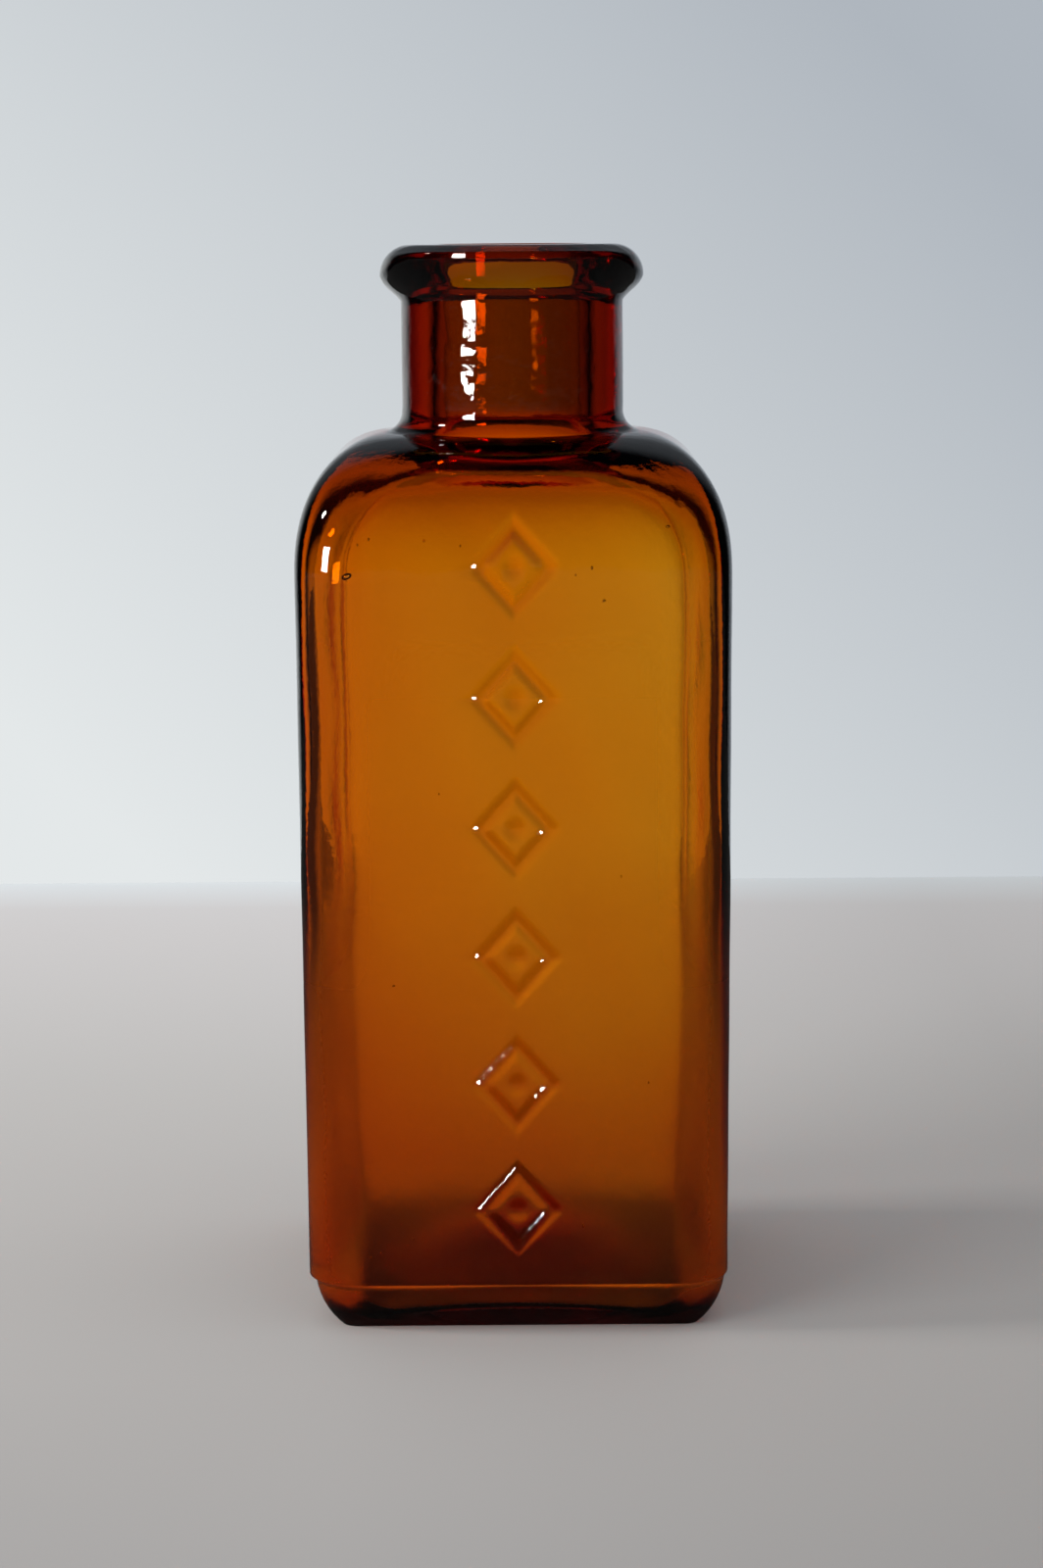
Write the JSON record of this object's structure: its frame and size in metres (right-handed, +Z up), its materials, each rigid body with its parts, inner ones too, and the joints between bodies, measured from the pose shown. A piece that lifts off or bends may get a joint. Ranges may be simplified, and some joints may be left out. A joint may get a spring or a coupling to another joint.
{
  "type": "poison bottle",
  "caption": "Square wide-mouth amber glass bottle with a tooled bead lip, round neck, curved shoulder, raised lozenges down one panel and a push-up base.",
  "frame": {"origin": "middle of the resting face, on the axis of the neck", "axes": "+Z up along the neck's axis, -Y out of the front panel that carries the raised lozenges, +X to the right seen from the front"},
  "size_m": [0.0514, 0.0522, 0.1293],
  "materials": {
    "lip_glass": "fire-polished amber glass",
    "neck_glass": "thick fire-polished amber glass",
    "body_glass": "moulded amber glass with small seeds",
    "base_glass": "moulded amber glass"
  },
  "bodies": {
    "root": {"lip": "lip_glass", "neck": "neck_glass", "body": "body_glass", "base": "base_glass"}
  },
  "joints": []
}
